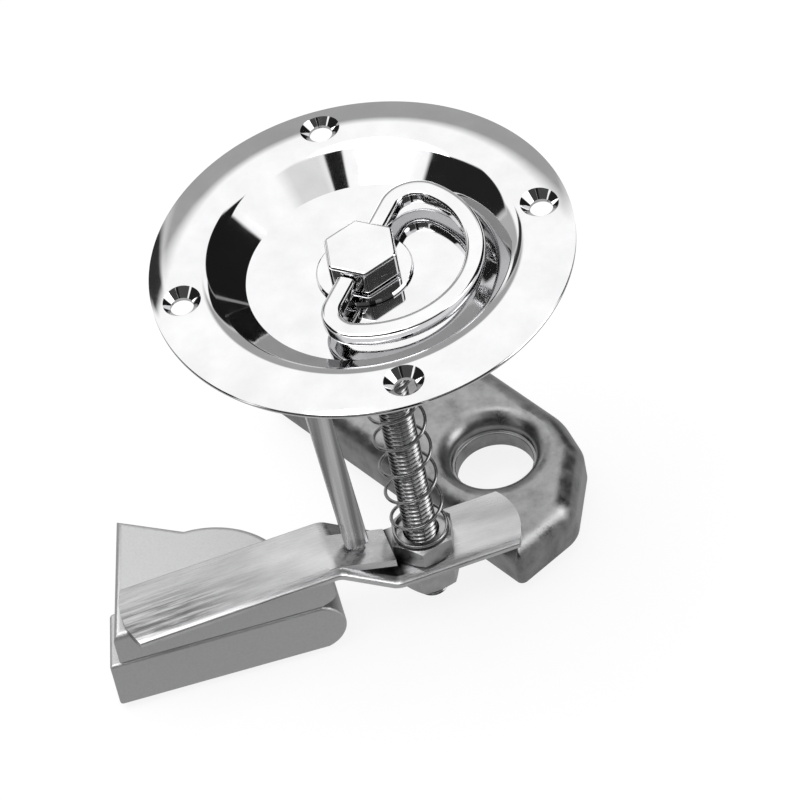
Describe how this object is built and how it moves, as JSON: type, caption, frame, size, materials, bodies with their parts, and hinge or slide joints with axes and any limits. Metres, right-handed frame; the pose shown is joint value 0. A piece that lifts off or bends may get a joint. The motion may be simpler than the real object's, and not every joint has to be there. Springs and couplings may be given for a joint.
{
  "type": "flush pull latch",
  "caption": "Flush pull latch: round dished flange with a folding D-ring, sprung stem and joggled latch bar, shown seated on its strike plate and bearer leaves.",
  "frame": {"origin": "centre of the flange's flat back face, on the stem's axis", "axes": "+Z out of the panel along the stem, from the latch bar towards the head; +X towards the flange's right-hand screw hole"},
  "size_m": [0.1007, 0.1089, 0.0941],
  "materials": {
    "mirror_chrome": "mirror polish",
    "bright_steel": "bright drawn steel",
    "plain_steel": "plain mill finish",
    "brushed_bar": "satin with fine long scratches",
    "matt_steel": "matt pressed and tumbled steel"
  },
  "bodies": {
    "housing": {"cup_flange": "mirror_chrome", "strike_plate": "matt_steel", "upper_leaf": "matt_steel", "lower_leaf": "matt_steel"},
    "swivel": {"head_washer": "mirror_chrome", "return_spring": "bright_steel"},
    "stem_set": {"spindle": "bright_steel", "upper_nut": "plain_steel", "latch_bar": "brushed_bar", "stop_leg": "plain_steel", "lower_nut": "plain_steel"},
    "ring": {"pull_ring": "mirror_chrome"}
  },
  "joints": [
    {"name": "stem_turn", "type": "hinge", "parent": "housing", "child": "swivel", "pos_m": [0, 0, -0.003], "axis": [0, 0, 1], "range_deg": [-90, 90]},
    {"name": "stem_lift", "type": "slide", "parent": "swivel", "child": "stem_set", "axis": [0, 0, 1], "range_m": [0, 0.012], "stiffness_N_per_m": 190, "springref_m": -0.017, "deforming": ["return_spring"]},
    {"name": "ring_fold", "type": "hinge", "parent": "stem_set", "child": "ring", "pos_m": [0, 0, 0.0007], "axis": [-0.5906, -0.807, 0], "range_deg": [0, 180]}
  ]
}
